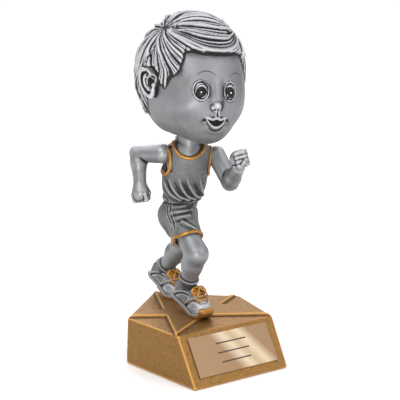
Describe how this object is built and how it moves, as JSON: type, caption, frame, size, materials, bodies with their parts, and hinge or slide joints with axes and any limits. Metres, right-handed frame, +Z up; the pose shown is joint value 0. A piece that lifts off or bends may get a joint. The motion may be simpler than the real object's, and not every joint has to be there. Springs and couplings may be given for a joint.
{
  "type": "figure trophy",
  "caption": "Bobblehead runner award: cast figure in mid-stride on a five-sided star base, big head on a hidden coil spring, engraving plate on the sloping front.",
  "frame": {"origin": "middle of the felt face the award rests on, under the base", "axes": "+Z up, -Y the way the figure and the name plate face, +X the figure's left"},
  "size_m": [0.0624, 0.0751, 0.1528],
  "materials": {
    "resin_gold": "satin",
    "resin_skin": "satin",
    "resin_cloth": "satin",
    "resin_shoe": "satin",
    "plate": "satin",
    "tape": "matte",
    "felt": "matte",
    "steel": "satin",
    "spring_steel": "satin",
    "black_plastic": "matte"
  },
  "bodies": {
    "figure": {"base_casting": "resin_gold", "base_felt_pad": "felt", "name_plate": "plate", "name_plate_tape": "tape", "right_shoe": "resin_shoe", "left_shoe": "resin_shoe", "right_foot_pin": "steel", "left_foot_pin": "steel", "right_leg": "resin_skin", "left_leg": "resin_skin", "shorts": "resin_cloth", "vest": "resin_cloth", "waist_dowel": "steel", "neck": "resin_skin", "right_arm": "resin_skin", "left_arm": "resin_skin", "right_shoulder_dowel": "steel", "left_shoulder_dowel": "steel"},
    "seat": {"spring_seat": "black_plastic"},
    "neck_spring": {"bobble_spring": "spring_steel"},
    "head": {"spring_cap": "black_plastic", "head_disc": "black_plastic", "head_casting": "resin_skin"}
  },
  "joints": [
    {"name": "head_twist", "type": "hinge", "parent": "figure", "child": "seat", "pos_m": [-0.0018, 0.0025, 0.1082], "axis": [0, 0, 1], "range_deg": [-15, 15], "stiffness_Nm_per_rad": 0.12},
    {"name": "head_nod", "type": "hinge", "parent": "seat", "child": "neck_spring", "pos_m": [-0.0018, 0.0025, 0.1082], "axis": [1, 0, 0], "range_deg": [-6, 8], "stiffness_Nm_per_rad": 0.12, "springref_deg": -1.16, "deforming": ["bobble_spring"]},
    {"name": "head_sway", "type": "hinge", "parent": "neck_spring", "child": "head", "pos_m": [-0.0018, 0.0025, 0.1082], "axis": [0, 1, 0], "range_deg": [-8, 8], "stiffness_Nm_per_rad": 0.12, "springref_deg": -0.23}
  ]
}
